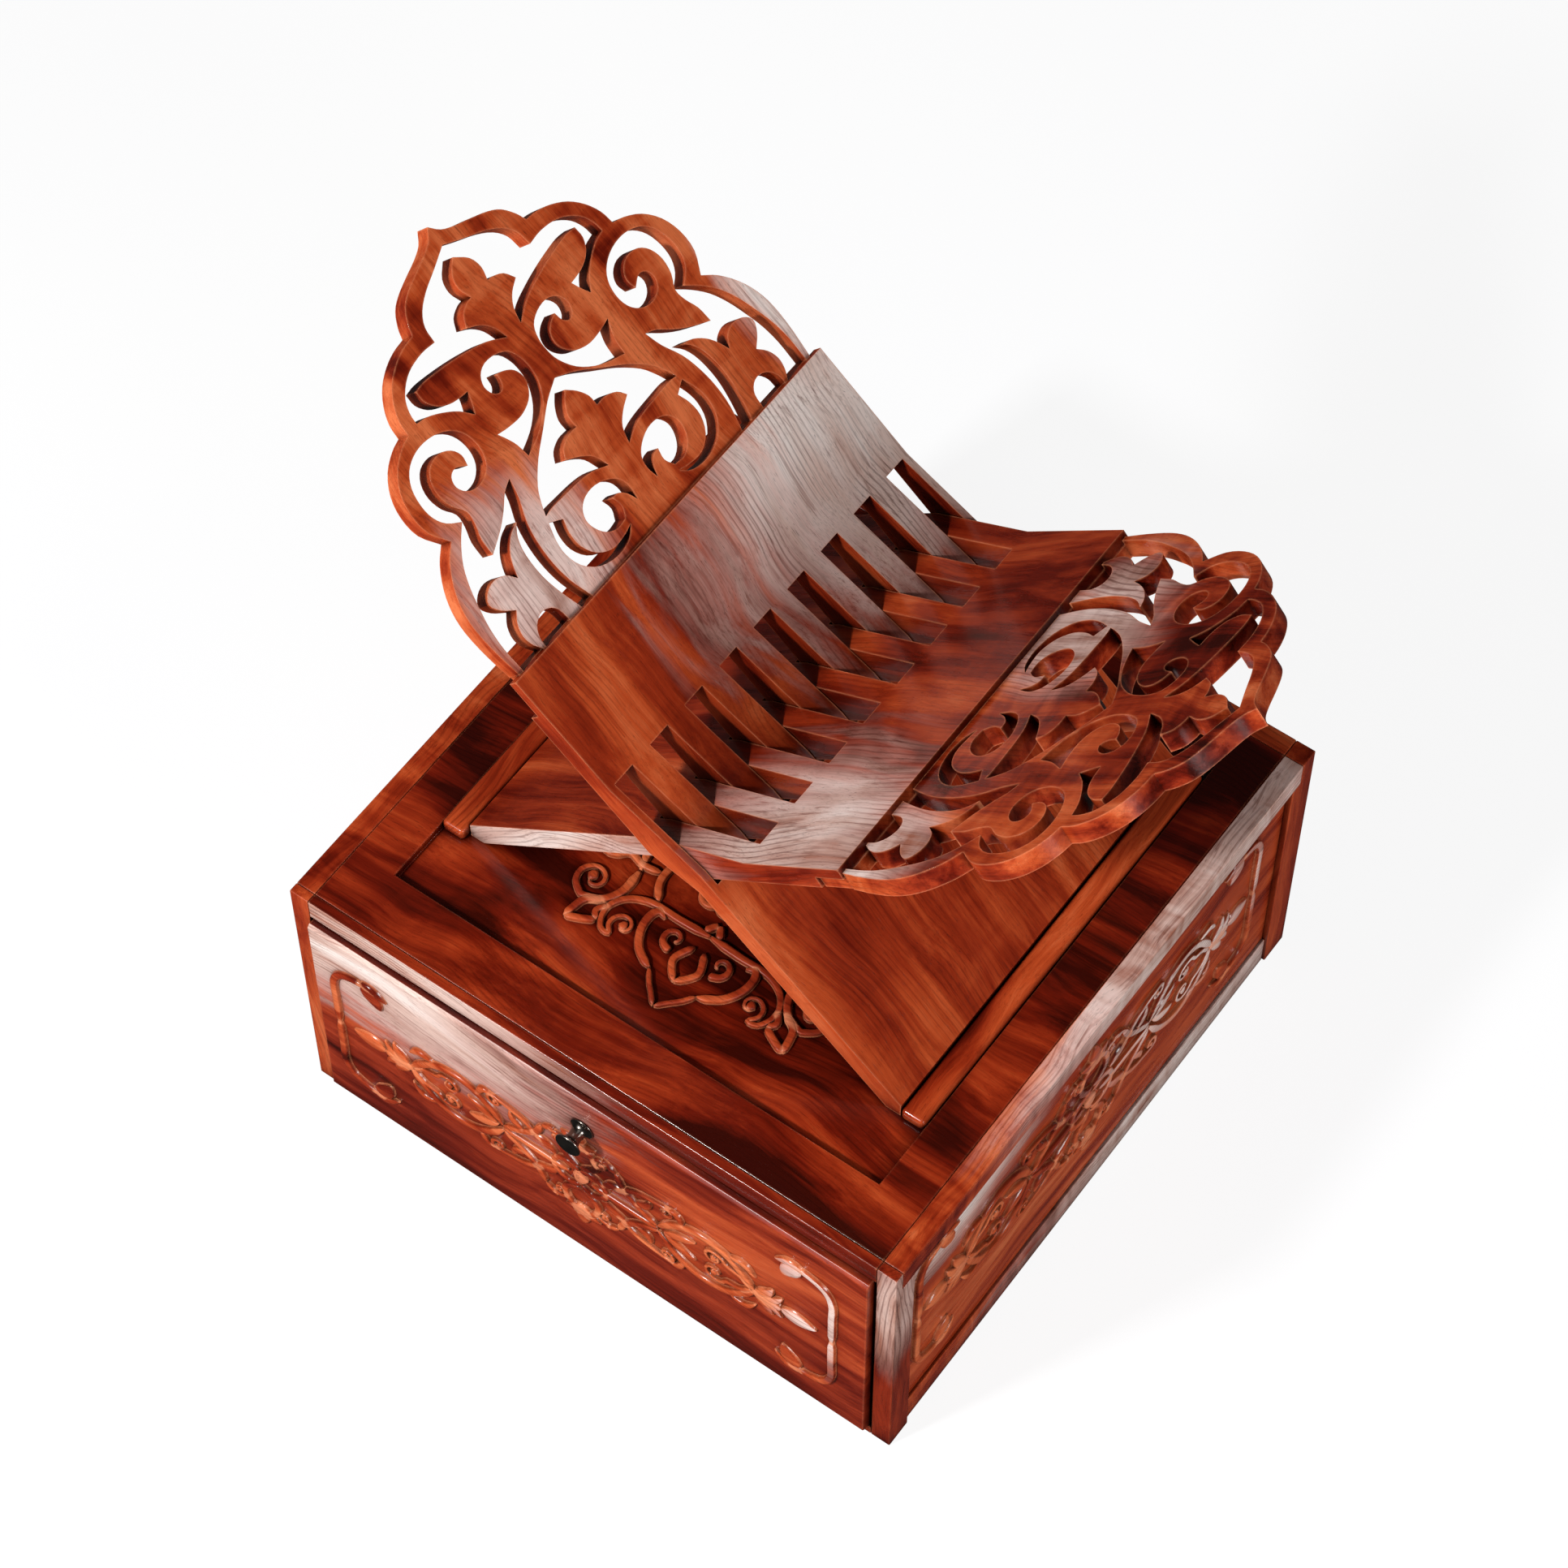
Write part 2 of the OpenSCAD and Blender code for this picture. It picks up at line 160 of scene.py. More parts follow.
class Board(Shader):
    """The material of a board, with noises that follow its grain."""

    def __init__(self, name, grain, seed):
        super().__init__(name)
        self.grain, self.seed = grain, seed
        coordinates = self.add("TexCoord")
        self.place, self.normal = coordinates["Object"], coordinates["Normal"]
        self.bent = self.bend()
        self.streak = self.noise(STREAK, 4.0, 0.55, distortion=0.5)
        self.thin = self.noise(THIN, 3.0, 0.6)
        self.fibre = self.noise(FIBRE, 2.0)
        self.pore = self.ramp(self.noise(PORES, 1.0), [(0.66, BLACK), (0.74, WHITE)])
        rings = {"Vector": self.grained(RINGS), "Scale": 1.0, "Distortion": 5.0, "Detail": 2.0,
                 "Detail Scale": 0.12}
        rings = self.add("TexWave", rings, bands_direction="DIAGONAL")["Fac"]
        self.rings = self.ramp(rings, [(0.04, RING_LINE), (0.30, WHITE)])
        self.ringed = self.ramp(self.noise(RINGED, 1.0), [(0.42, BLACK), (0.62, WHITE)])

    def bend(self):
        """Coordinates that wander a little, so that no grain line runs straight."""
        wave = self.add("TexNoise", {"Vector": self.place, "Scale": 9.0, "Detail": 2.0})["Color"]
        wave = self.add("VectorMath", {0: wave, 1: (0.5, 0.5, 0.5)}, operation="SUBTRACT")[0]
        wave = self.add("VectorMath", {0: wave, "Scale": 0.030}, operation="SCALE")[0]
        return self.add("VectorMath", {0: self.place, 1: wave}, operation="ADD")[0]

    def grained(self, size):
        """Coordinates stretched along the grain."""
        length, width, shift = size
        start = (self.seed + shift, self.seed - shift, self.seed * 0.7)
        inputs = {"Vector": self.bent, "Location": start, "Rotation": self.grain,
                  "Scale": (length, width, width)}
        return self.add("Mapping", inputs, vector_type="TEXTURE")[0]

    def noise(self, size, detail, rough=0.5, distortion=0.0):
        inputs = {"Vector": self.grained(size), "Scale": 1.0, "Detail": detail, "Roughness": rough,
                  "Distortion": distortion}
        return self.add("TexNoise", inputs)["Fac"]

    def tone(self, shade, contrast, flame):
        """How light the wood is, from its broad zones, streaks, thin lines and bars."""
        broad = self.noise(BROAD, 2.5, distortion=1.4)
        bars = self.noise(BARS, 3.0, 0.55, distortion=0.8)
        tone = 0.5 + shade
        for source, weight in ((broad, 1.15 * contrast), (self.streak, 0.60 * contrast),
                               (self.thin, 0.20), (bars, flame)):
            part = self.math("MULTIPLY", self.math("SUBTRACT", source, 0.5), weight)
            tone = self.math("ADD", part, tone)
        return tone

    def heartwood(self, tone):
        stops = [(0.16, DARK), (0.34, DEEP), (0.50, MIDDLE), (0.66, LIGHT), (0.88, ORANGE)]
        return self.mix(self.math("MULTIPLY", self.ringed, 0.40), self.ramp(tone, stops), self.rings,
                        "MULTIPLY")

    # Painted highlight: a pale sheen with thin dark grain lines, standing in for reflections on the
    # lacquer
    def painted_highlights(self, tone):
        pale = self.ramp(tone, [(0.20, PALE_DARK), (0.45, PALE), (0.75, PALE_LIGHT)])
        pale = self.mix(0.6, pale, self.ramp(self.thin, [(0.34, HIGHLIGHT_GRAIN_LINE), (0.42, WHITE)]), "MULTIPLY")
        return self.mix(self.math("MULTIPLY", self.ringed, 0.75), pale, self.rings, "MULTIPLY")

    def highlight_zone(self, centre, reach, facing, strength):
        """Strength of a painted highlight zone, with a streaky limit, on the faces that look that way.
        """
        inputs = {"Vector": self.bent, "Location": centre, "Scale": reach}
        apart = self.add("Mapping", inputs, vector_type="TEXTURE")[0]
        apart = self.add("VectorMath", {0: apart}, operation="LENGTH")["Value"]
        streaky = self.math("MULTIPLY", self.math("SUBTRACT", self.streak, 0.5), 0.9)
        apart = self.math("ADD", apart, streaky)
        inputs = {"Value": apart, "From Min": 1.05, "From Max": 0.25, "To Min": 0.0, "To Max": strength}
        inside = self.add("MapRange", inputs, interpolation_type="SMOOTHSTEP")[0]
        turned = self.add("VectorMath", {0: self.normal, 1: facing}, operation="DOT_PRODUCT")["Value"]
        return self.math("MULTIPLY", inside, self.math("MULTIPLY_ADD", turned, 4.0, -2.2, clamp=True))

    def pored(self, colour):
        """The colour with fine dark fibres and pores."""
        fibres = self.ramp(self.fibre, [(0.36, FIBRE_LINE), (0.50, WHITE)])
        colour = self.mix(0.30, colour, fibres, "MULTIPLY")
        return self.mix(self.math("MULTIPLY", self.pore, 0.5), colour, DARK)

    def hollow_shade_and_edge_wear_highlight(self, colour):
        """The colour with painted shade darkening the hollows, and paler edges that are partly wear and
        partly painted highlight.
        """
        # Painted shade: the colour is darker where the surface is enclosed
        for reach, low, high in HOLLOW_SHADE_REACHES:
            hollow_shade = self.add("AmbientOcclusion", {"Distance": reach * MM}, samples=6)["AO"]
            hollow_shade = self.ramp(hollow_shade, [(low, HOLLOW_SHADE_TINT), (high, WHITE)])
            colour = self.mix(0.85, colour, hollow_shade, "MULTIPLY")
        # Paler edges: partly wear, partly a painted highlight along the edges
        edge = self.add("AmbientOcclusion", {"Distance": EDGE_REACH * MM}, samples=6, inside=True)["AO"]
        edge_wear_and_highlight = self.ramp(edge, [(0.35, WHITE), (0.80, BLACK)])
        edge_wear_and_highlight = self.math("MULTIPLY", edge_wear_and_highlight, self.math("MULTIPLY", self.thin, 1.1))
        return self.mix(edge_wear_and_highlight, colour, WEAR_AND_HIGHLIGHT)

    def roughness(self, gloss):
        cloud = self.add("TexNoise", {"Vector": self.place, "Scale": 22.0, "Detail": 3.0})["Fac"]
        streaky = self.math("MULTIPLY", self.streak, 0.40 / gloss)
        return self.math("MULTIPLY_ADD", cloud, 0.16 / gloss, streaky)

    def bump(self):
        fibre = self.math("MULTIPLY", self.fibre, 0.6)
        height = self.math("ADD", fibre, self.math("MULTIPLY", self.thin, 1.2))
        height = self.math("SUBTRACT", height, self.math("MULTIPLY", self.pore, 0.5))
        return self.add("Bump", {"Height": height, "Strength": 0.35, "Distance": 0.12 * MM})["Normal"]


def wood(name, grain, seed=0.0, shade=0.0, contrast=1.0, flame=0.0, gloss=1.0, blur=0.14,
         painted_highlights=()):
    """Lacquered red-brown hardwood with its grain along one direction.

    shade lightens or darkens, flame adds bars across the grain, gloss scales the lacquer and blur
    is the roughness of its top coat.
    The last argument lists the painted highlights of the board, pale zones that stand in for
    reflections on the lacquer: each a centre, its reach along X, Y and Z, the way its face looks,
    and a strength.
    """
    board = Board(name, grain, seed)
    tone = board.tone(shade, contrast, flame)
    colour = board.heartwood(tone)
    # Painted highlights: pale sheen laid over the wood in each listed zone
    for highlight_zone in painted_highlights:
        colour = board.mix(board.highlight_zone(*highlight_zone), colour, board.painted_highlights(tone))
    return board.surface({
        "Base Color": board.hollow_shade_and_edge_wear_highlight(board.pored(colour)), "Roughness": board.roughness(gloss),
        "Normal": board.bump(), "Specular IOR Level": 0.12,
        "Coat Weight": 0.55 * gloss, "Coat Roughness": blur, "Coat IOR": 1.5,
    })


def metal(name, tint, rough, scratches):
    """Metal with fine scratches, given as how many fit in a metre, and dulled patches."""
    s = Shader(name)
    place = s.add("TexCoord")["Object"]
    fine = s.add("TexNoise", {"Vector": place, "Scale": scratches, "Detail": 3.0})["Fac"]
    patch = s.add("TexNoise", {"Vector": place, "Scale": 120.0, "Detail": 4.0})["Fac"]
    colour = s.ramp(patch, [(0.35, tuple(0.55 * c for c in tint[:3])), (0.62, tint)])
    level = s.math("MULTIPLY_ADD", patch, 0.22, rough - 0.08)
    bump = s.add("Bump", {"Height": fine, "Strength": 0.15, "Distance": 0.03 * MM})["Normal"]
    return s.surface({"Base Color": colour, "Metallic": 1.0, "Roughness": level, "Normal": bump})


# Directions that the faces with painted highlights look
FRONT, RIGHT, LEFT = (0, -1, 0), (1, 0, 0), (-1, 0, 0)
FACE_RIGHT = (math.sin(SLOPE), 0, math.cos(SLOPE))
FACE_LEFT = (-math.sin(SLOPE), 0, math.cos(SLOPE))

# Every pale zone listed in the woods below is a painted highlight, standing in for reflections on the
# lacquer
top_wood = wood("lacquered_top", ALONG_X, 0.3, shade=-0.21, flame=0.10)
# The medallion wood is a copy of the top's wood, painted lighter so that the raised ribbons read as lit:
# painted light
top_carving_wood = wood("carved_top", ALONG_X, 0.3, shade=0.08, gloss=0.5, blur=0.35)
drawer_wood = wood("lacquered_drawer", ALONG_X, 1.7, shade=-0.03, contrast=0.85, gloss=0.75,
                   blur=0.26,
                   painted_highlights=[((-0.12, -0.160, 0.138), (0.15, 0.06, 0.066), (0, -1.4, 0.3), 0.95)])
# The drawer carving wood is a copy of the drawer's wood, painted lighter so that the raised ribbons read
# as lit: painted light
drawer_carving_wood = wood("carved_drawer", ALONG_X, 1.7, shade=0.12, contrast=1.5, blur=0.20,
                           painted_highlights=[((0.128, -0.160, 0.095), (0.03, 0.05, 0.06), FRONT, 0.7)])
side_wood = wood("lacquered_side", ALONG_Y, 2.9, shade=0.10,
                 painted_highlights=[((0.157, -0.12, 0.140), (0.04, 0.10, 0.032), RIGHT, 0.85),
                          ((-0.157, 0.10, 0.140), (0.04, 0.10, 0.032), LEFT, 0.85)])
# The side carving wood is a copy of the side's wood, painted lighter so that the raised ribbons read as
# lit: painted light
side_carving_wood = wood("carved_side", ALONG_Y, 2.9, shade=0.24, contrast=1.5, blur=0.20,
                         painted_highlights=[((0.157, 0.07, 0.105), (0.04, 0.10, 0.05), RIGHT, 0.75),
                                  ((-0.157, -0.07, 0.105), (0.04, 0.10, 0.05), LEFT, 0.75)])
post_wood = wood("lacquered_post", ALONG_Z, 4.1, shade=-0.04,
                 painted_highlights=[((0.158, -0.160, 0.125), (0.03, 0.03, 0.06), FRONT, 0.9),
                          ((0.160, -0.158, 0.125), (0.03, 0.03, 0.06), RIGHT, 0.7)])
rail_x_wood = wood("lacquered_rail_x", ALONG_X, 5.3, shade=-0.04,
                   painted_highlights=[((-0.11, -0.158, 0.160), (0.15, 0.05, 0.05), FRONT, 1.0)])
rail_y_wood = wood("lacquered_rail_y", ALONG_Y, 6.1, shade=-0.02, flame=0.75,
                   painted_highlights=[((0.155, 0.07, 0.160), (0.05, 0.17, 0.04), (1, 0, 1), 0.85),
                            ((0.158, 0.06, 0.010), (0.05, 0.16, 0.04), (1, 0, 1), 0.85)])
cleat_wood = wood("lacquered_cleat", ALONG_Y, 7.7, shade=0.02)
left_leaf_wood = wood("lacquered_left_leaf", UP_LEFT, 8.3, shade=0.07, contrast=0.8, flame=0.14,
                      blur=0.20,
                      painted_highlights=[((-0.045, 0.115, 0.295), (0.09, 0.145, 0.09), FACE_RIGHT, 1.0)])
right_leaf_wood = wood("lacquered_right_leaf", UP_RIGHT, 9.5, shade=-0.04, flame=0.14,
                       painted_highlights=[((0.050, -0.085, 0.290), (0.08, 0.08, 0.08), FACE_LEFT, 0.9),
                                ((-0.075, -0.0903, 0.190), (0.13, 0.05, 0.12), FRONT, 1.0)])
left_crest_wood = wood("lacquered_left_crest", UP_LEFT, 10.9, shade=0.15, contrast=1.2, flame=0.45,
                       painted_highlights=[((-0.095, -0.055, 0.325), (0.05, 0.05, 0.05), FACE_RIGHT, 0.7),
                                ((-0.105, 0.113, 0.335), (0.05, 0.020, 0.05), FACE_RIGHT, 0.9)])
right_crest_wood = wood("lacquered_right_crest", UP_RIGHT, 12.1, shade=0.04, contrast=1.4, flame=0.6,
                        painted_highlights=[((0.100, 0.060, 0.330), (0.05, 0.05, 0.05), FACE_LEFT, 0.7),
                                 ((0.085, -0.080, 0.315), (0.05, 0.04, 0.04), FACE_LEFT, 0.8)])
inner_x_wood = wood("inner_wood_x", ALONG_X, 13.3, shade=0.10, gloss=0.6)
inner_y_wood = wood("inner_wood_y", ALONG_Y, 14.7, shade=0.10, gloss=0.6)
left_peg_wood = wood("left_peg_wood", UP_LEFT, 15.1, shade=0.20, gloss=0.7)
right_peg_wood = wood("right_peg_wood", UP_RIGHT, 16.3, shade=0.20, gloss=0.7)
knob_metal = metal("dark_knob_metal", srgb(150, 140, 132), 0.22, 900)
steel = metal("bright_steel", srgb(205, 203, 200), 0.30, 940)

FINISHES = {
    "base_board": inner_x_wood, "top_board": top_wood, "drawer_front": drawer_wood,
    "front_left_post": post_wood, "front_right_post": post_wood,
    "back_left_post": post_wood, "back_right_post": post_wood,
    "front_top_rail": rail_x_wood, "back_top_rail": rail_x_wood, "back_bottom_rail": rail_x_wood,
    "left_top_rail": rail_y_wood, "right_top_rail": rail_y_wood,
    "left_bottom_rail": rail_y_wood, "right_bottom_rail": rail_y_wood,
    "left_side_panel": side_wood, "right_side_panel": side_wood, "back_panel": rail_x_wood,
    "left_bearer": inner_y_wood, "right_bearer": inner_y_wood, "drawer_stops": inner_y_wood,
    "left_cleat": cleat_wood, "right_cleat": cleat_wood,
    "drawer_left_side": inner_y_wood, "drawer_right_side": inner_y_wood,
    "drawer_back": inner_x_wood, "drawer_bottom": inner_x_wood,
    "knob": knob_metal, "knob_screw": steel, "hinge_rod": steel,
    "left_leaf": left_leaf_wood, "left_crest": left_crest_wood, "left_crest_pegs": left_peg_wood,
    "right_leaf": right_leaf_wood, "right_crest": right_crest_wood,
    "right_crest_pegs": right_peg_wood,
}


# ---- CAD pieces: softened edges and finish ----

BEVEL_FROM = math.radians(28)
CREASE_FROM = math.radians(8)


def shading_group(name, domain, smooth):
    """A modifier group that smooths all faces, or sharpens the slight creases that no bevel rounds."""
    group = bpy.data.node_groups.new(name, "GeometryNodeTree")
    for way in ("INPUT", "OUTPUT"):
        group.interface.new_socket("Geometry", in_out=way, socket_type="NodeSocketGeometry")
    start = group.nodes.new("NodeGroupInput")
    shade = group.nodes.new("GeometryNodeSetShadeSmooth")
    shade.domain = domain
    shade.inputs["Shade Smooth"].default_value = smooth
    end = group.nodes.new("NodeGroupOutput")
    group.links.new(start.outputs[0], shade.inputs[0])
    group.links.new(shade.outputs[0], end.inputs[0])
    if not smooth:
        angle = group.nodes.new("GeometryNodeInputMeshEdgeAngle")
        between = group.nodes.new("ShaderNodeMath")
        between.operation = "COMPARE"
        between.inputs[1].default_value = (CREASE_FROM + BEVEL_FROM) / 2
        between.inputs[2].default_value = (BEVEL_FROM - CREASE_FROM) / 2
        group.links.new(angle.outputs["Unsigned Angle"], between.inputs[0])
        group.links.new(between.outputs[0], shade.inputs["Selection"])
    return group


SMOOTH_FACES = shading_group("smooth_faces", "FACE", True)
CRISP_CREASES = shading_group("crisp_creases", "EDGE", False)


def soften(piece, width, segments=2):
    """Rounds the sharp edges of a piece, and keeps its flat faces flat and its creases crisp."""
    weld = piece.modifiers.new("weld", "WELD")
    weld.merge_threshold = 0.005 * MM
    flat = piece.modifiers.new("flat_faces", "DECIMATE")
    flat.decimate_type = "DISSOLVE"
    flat.angle_limit = math.radians(0.4)
    if "leaf" in piece.name:
        crisp = piece.modifiers.new("creases", "NODES")
        crisp.node_group = CRISP_CREASES
    bevel = piece.modifiers.new("bevel", "BEVEL")
    bevel.width = width
    bevel.segments = segments
    bevel.limit_method = "ANGLE"
    bevel.angle_limit = BEVEL_FROM
    bevel.use_clamp_overlap = True
    shade = piece.modifiers.new("shade", "NODES")
    shade.node_group = SMOOTH_FACES
    normals = piece.modifiers.new("normals", "WEIGHTED_NORMAL")
    normals.keep_sharp = True
    normals.weight = 90


EDGES = {"left_cleat": 2.2, "right_cleat": 2.2, "left_leaf": 0.7, "right_leaf": 0.7,
         "left_crest": 0.8, "right_crest": 0.8, "knob": 0.25, "knob_screw": 0.3,
         "hinge_rod": 0.3, "left_crest_pegs": 0.3, "right_crest_pegs": 0.3, "drawer_front": 0.5}

for name, piece in NODES.items():
    piece.data.materials.clear()
    piece.data.materials.append(FINISHES[name])
    soften(piece, EDGES.get(name, 0.6) * MM, segments=4 if "cleat" in name else 2)


# ---- Carved relief ----

def spline(points, step):
    """Points at about one step apart along the smooth curve through the given points."""
    path = [Vector(p) for p in points]
    padded = [2 * path[0] - path[1]] + path + [2 * path[-1] - path[-2]]
    result = []
    for a, b, c, d in zip(padded, padded[1:], padded[2:], padded[3:]):
        count = max(2, round((c - b).length / step))
        for k in range(count):
            t = k / count
            result.append(0.5 * (2 * b + (c - a) * t + (2 * a - 5 * b + 4 * c - d) * t * t
                                 + (3 * b - a - 3 * c + d) * t ** 3))
    return result + [path[-1]]


def volute(centre, radius, start, turns, end=0.22):
    """Points of a spiral that winds in from its outer end; positive turns run anticlockwise."""
    count = max(5, round(abs(turns) * 9))
    points = []
    for k in range(count + 1):
        t = k / count
        r = radius * (1 - (1 - end) * t ** 0.85)
        angle = math.radians(start) + turns * 2 * math.pi * t
        points.append((centre[0] + r * math.cos(angle), centre[1] + r * math.sin(angle)))
    return points


class Relief:
    """Domed ribbons, leaves and buds carved on a flat face. Lengths are millimetres on that face."""

    SINK = 0.15
    STEP = 1.3
    SIDES = 6

    def __init__(self, origin, across, up, height, bold):
        self.origin, self.across, self.up = Vector(origin), Vector(across), Vector(up)
        self.out = self.across.cross(self.up)
        self.height, self.bold = height, bold
        self.mesh = bmesh.new()
        self.copies = [(1, 1)]

    def point(self, x, y, z):
        return self.origin + MM * (x * self.across + y * self.up + z * self.out)

    def ring(self, centre, side, half, height, flip):
        """One closed section: a dome over its half width, and the two sunk corners below it."""
        corners = [(-half, -self.SINK)]
        for k in range(self.SIDES + 1):
            angle = math.pi * k / self.SIDES
            corners.append((-half * math.cos(angle), height * math.sin(angle) ** 0.3))
        corners.append((half, -self.SINK))
        sx, sy = flip
        return [self.mesh.verts.new(self.point(sx * (centre.x + a * side.x),
                                               sy * (centre.y + a * side.y), z))
                for a, z in corners]

    def ribbon(self, points, width, shape="stem"):
        """A ribbon along the points: a stem of even width, a leaf, or a tail that thins to its end."""
        path = spline(points, self.STEP)
        last = len(path) - 1
        profiles = {
            "stem": lambda t: min(1, 0.35 + 6 * t, 0.35 + 6 * (1 - t)),
            "leaf": lambda t: 0.12 + 0.88 * math.sin(math.pi * t ** 0.8) ** 0.8,
            "tail": lambda t: min(1, 0.4 + 8 * t) * (1 - 0.62 * t) * min(1, 0.3 + 12 * (1 - t)),
        }
        for flip in self.copies:
            rings = []
            for i, centre in enumerate(path):
                along = (path[min(i + 1, last)] - path[max(i - 1, 0)]).normalized()
                side = Vector((-along.y, along.x))
                size = profiles[shape](i / last)
                half = self.bold * width / 2 * size
                rings.append(self.ring(centre, side, half, self.height * size ** 0.4, flip))
            self.skin(rings)

    def skin(self, rings):
        count = len(rings[0])
        for a, b in zip(rings, rings[1:]):
            for k in range(count):
                self.mesh.faces.new((a[k], a[(k + 1) % count], b[(k + 1) % count], b[k]))
        self.mesh.faces.new(rings[0])
        self.mesh.faces.new(rings[-1])

    def bud(self, centre, radius):
        """A small dome."""
        self.ribbon([(centre[0] - radius, centre[1]), (centre[0], centre[1]),
                     (centre[0] + radius, centre[1])], 2 * radius, "leaf")

    def scroll(self, points, centre, radius, start, turns, width):
        """A stem that runs into a volute with a bud in its eye."""
        self.ribbon(list(points) + volute(centre, radius, start, turns), width, "tail")
        self.bud(centre, radius * 0.30)

    def palmette(self, base, angle, size):
        """Three leaves that fan out from a base."""
        for turn, reach, width in ((0, 1.0, 0.42), (52, 0.78, 0.34), (-52, 0.78, 0.34)):
            a, b = math.radians(angle + turn * 0.6), math.radians(angle + turn * 1.35)
            half = 0.5 * reach * size
            middle = (base[0] + half * math.cos(a), base[1] + half * math.sin(a))
            tip = (middle[0] + half * math.cos(b), middle[1] + half * math.sin(b))
            self.ribbon([base, middle, tip], width * size, "leaf")

    def build(self, name, material, body):
        bmesh.ops.recalc_face_normals(self.mesh, faces=self.mesh.faces)
        data = bpy.data.meshes.new(name)
        self.mesh.to_mesh(data)
        self.mesh.free()
        data.polygons.foreach_set("use_smooth", [True] * len(data.polygons))
        piece = bpy.data.objects.new(name, data)
        bpy.context.scene.collection.objects.link(piece)
        piece.data.materials.append(material)
        normals = piece.modifiers.new("normals", "WEIGHTED_NORMAL")
        normals.keep_sharp = False
        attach(piece, body)
        return piece


def drawer_relief():
    """Corner brackets with leaves and a long arabesque band on the drawer front."""
    middle_z = 78.5
    r = Relief((-2.4 * MM, DRAWER_Y, middle_z * MM), (1, 0, 0), (0, 0, 1), 2.0, 1.3)
    r.copies = [(1, 1), (-1, 1), (1, -1), (-1, -1)]
    r.ribbon([(134, -2), (134, 20), (134, 34), (130.5, 43), (122, 47.5), (112, 48)], 3.2)
    r.ribbon([(118, 46.5), (112, 42), (108, 34)], 7.5, "leaf")
    r.ribbon([(120, 47.5), (112, 49), (104, 44)], 4.0, "leaf")
    # Oval ring with a pair of volutes
    r.ribbon([(42, 2), (50, 12), (60, 18.5), (70, 19.5), (80, 16), (88, 8), (94, 0)], 3.6)
    r.scroll([(92, 0), (86, 6)], (72, 6.5), 7, 10, 1.1, 2.6)
    r.ribbon([(45, 0), (54, 5), (62, 8)], 4.6, "leaf")
    r.ribbon([(80, 18), (88, 19), (94, 13)], 3.4, "leaf")
    r.ribbon([(56, 17), (52, 24), (45, 23)], 3.2, "leaf")
    # Scrolls over the stems beside the middle
    r.scroll([(20, 12), (30, 20), (40, 23)], (46, 20), 4.4, 60, -1.0, 3.0)
    r.ribbon([(42, 2), (32, 8), (24, 16), (20, 26)], 3.2)
    r.ribbon([(30, 10), (36, 14), (38, 20)], 3.8, "leaf")
    r.scroll([(20, 26), (14, 30)], (12, 24), 5.0, 60, 1.1, 2.8)
    r.ribbon([(26, 14), (18, 12), (12, 6)], 4.6, "leaf")
    r.ribbon([(0, 6), (6, 9), (12, 6), (15, 0)], 3.0)
    r.ribbon([(0, 33), (7, 27), (9, 18), (4, 12), (0, 10)], 3.0)
    # Palmette and bud towards the bracket
    r.ribbon([(94, 0), (100, 6), (103, 12)], 5.0, "leaf")
    r.ribbon([(96, 0), (104, 4), (108, 9)], 4.2, "leaf")
    r.copies = [(1, 1), (-1, 1)]
    r.ribbon([(92, 0), (100, 0), (108, 0)], 4.4)
    r.ribbon([(107, 0), (116, 0), (126, 0)], 7.5, "leaf")
    r.ribbon([(6, 0), (22, 0), (42, 0)], 3.4)
    r.copies = [(1, 1), (1, -1)]
    r.palmette((0, 26), 90, 17)
    r.bud((0, 0), 4.2)
    return r.build("drawer_carving", drawer_carving_wood, "drawer")


def side_relief(side):
    """The same kind of brackets and band, shorter, on a side panel."""
    middle_z = 89.0
    across = (0, side, 0)
    r = Relief((side * PANEL_X, -8 * MM, middle_z * MM), across, (0, 0, 1), 2.2, 1.3)
    r.copies = [(1, 1), (-1, 1), (1, -1), (-1, -1)]
    r.ribbon([(131, -2), (131, 20), (131, 36), (127, 45), (119, 48.5), (110, 49)], 3.4)
    r.ribbon([(116, 47.5), (111, 43), (107, 36)], 7.5, "leaf")
    r.ribbon([(118, 48.5), (110, 50), (102, 45)], 4.0, "leaf")
    r.ribbon([(46, 2), (54, 14), (64, 21.5), (74, 23), (84, 18), (91, 9), (96, 0)], 3.8)
    r.scroll([(94, 0), (88, 7)], (74, 8), 8, 10, 1.1, 2.8)
    r.ribbon([(49, 0), (58, 6), (66, 9)], 4.8, "leaf")
    r.ribbon([(84, 20), (92, 21), (98, 14)], 3.6, "leaf")
    r.scroll([(22, 14), (34, 23), (44, 26)], (50, 22.5), 4.8, 60, -1.0, 3.2)
    r.ribbon([(46, 2), (36, 10), (28, 18), (22, 29)], 3.4)
    r.ribbon([(34, 12), (40, 17), (42, 23)], 4.0, "leaf")
    r.scroll([(22, 29), (15, 33)], (13, 27), 5.4, 60, 1.1, 3.0)
    r.ribbon([(28, 16), (20, 13), (13, 7)], 4.8, "leaf")
    r.ribbon([(0, 7), (6, 10), (13, 7), (16, 0)], 3.2)
    r.ribbon([(0, 36), (8, 30), (10, 20), (5, 13), (0, 11)], 3.2)
    r.ribbon([(96, 0), (102, 7), (105, 13)], 5.2, "leaf")
    r.ribbon([(98, 0), (106, 4), (110, 10)], 4.4, "leaf")
    r.copies = [(1, 1), (-1, 1)]
    r.ribbon([(94, 0), (102, 0), (110, 0)], 4.6)
    r.ribbon([(109, 0), (117, 0), (126, 0)], 8.0, "leaf")
    r.ribbon([(6, 0), (24, 0), (46, 0)], 3.6)
    r.copies = [(1, 1), (1, -1)]
    r.palmette((0, 29), 90, 18)
    r.bud((0, 0), 4.6)
    name = "right_side_carving" if side > 0 else "left_side_carving"
    return r.build(name, side_carving_wood, "chest")


